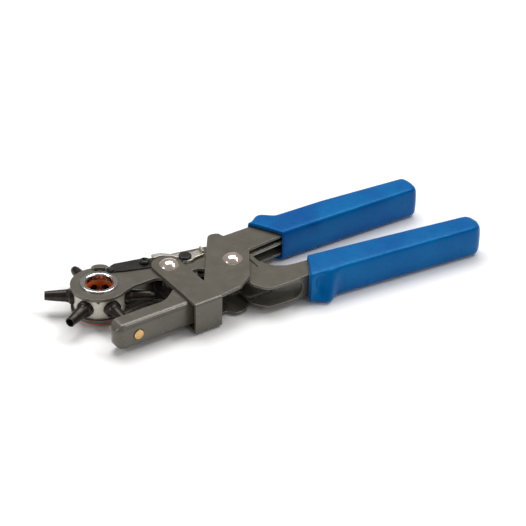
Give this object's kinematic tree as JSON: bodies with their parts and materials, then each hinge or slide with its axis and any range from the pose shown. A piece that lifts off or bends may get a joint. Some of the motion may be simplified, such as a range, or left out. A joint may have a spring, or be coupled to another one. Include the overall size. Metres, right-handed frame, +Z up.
{
  "type": "rotary hole punch",
  "caption": "Revolving leather punch pliers: turret of hollow punches, brass-faced anvil jaw, sheet-steel levers and plastic grips.",
  "frame": {"origin": "middle of the whole box in plan, at the height of the flat rivet feet that the tool lies on", "axes": "+X from the turret toward the grips, +Z up through the thin side, +Y toward the turret-arm side"},
  "size_m": [0.2422, 0.0998, 0.0229],
  "materials": {
    "body_paint": "satin dark taupe-grey powder coat",
    "blue_grip": "satin blue dipped vinyl",
    "drum_zinc": "as-cast pale zinc",
    "punch_oxide": "dark brown-black oxide",
    "chrome": "bright plated",
    "orange_plastic": "glossy orange",
    "black_steel": "black oxide",
    "brass": "turned",
    "rivet_nickel": "polished warm nickel",
    "zinc_plate": "pale zinc plating"
  },
  "bodies": {
    "frame": {"upper_handle": "body_paint", "turret_arm": "body_paint", "upper_eyelet": "chrome", "lower_eyelet": "chrome", "index_spring": "black_steel", "index_screw": "black_steel", "front_rivet": "rivet_nickel", "rear_rivet": "rivet_nickel", "front_bush": "zinc_plate", "rear_bush": "zinc_plate", "latch_washer": "zinc_plate", "latch_rivet": "black_steel", "return_spring": "zinc_plate", "rear_spring_pin": "zinc_plate", "upper_grip": "blue_grip"},
    "turret": {"turret_drum": "drum_zinc", "chip_cup": "orange_plastic", "punch_2_0mm": "punch_oxide", "punch_2_5mm": "punch_oxide", "punch_3_0mm": "punch_oxide", "punch_3_5mm": "punch_oxide", "punch_4_0mm": "punch_oxide", "punch_4_5mm": "punch_oxide"},
    "jaw": {"anvil_jaw": "body_paint", "anvil_pad": "brass"},
    "handle": {"lower_handle": "body_paint", "drive_pin": "zinc_plate", "front_spring_pin": "zinc_plate", "lower_grip": "blue_grip"},
    "latch": {"latch_lever": "zinc_plate"}
  },
  "joints": [
    {"name": "turret_turn", "type": "hinge", "parent": "frame", "child": "turret", "pos_m": [-0.09316, 0.01987, 0.0105], "axis": [0, 0, 1], "continuous": true},
    {"name": "handle_squeeze", "type": "hinge", "parent": "frame", "child": "handle", "pos_m": [-0.01996, -0.00113, 0.0105], "axis": [0, 0, 1], "range_deg": [-13, 6.5], "deforming": ["return_spring"]},
    {"name": "jaw_close", "type": "hinge", "parent": "frame", "child": "jaw", "pos_m": [-0.05235, 0.01307, 0.0105], "axis": [0, 0, 1], "range_deg": [-3.06, 6.08]},
    {"name": "latch_swing", "type": "hinge", "parent": "frame", "child": "latch", "pos_m": [-0.04106, 0.01467, 0.0105], "axis": [0, 0, 1], "range_deg": [-10, 0]}
  ],
  "couplings": [
    {"joint": "jaw_close", "follows": "handle_squeeze", "ratio": -0.4639}
  ]
}
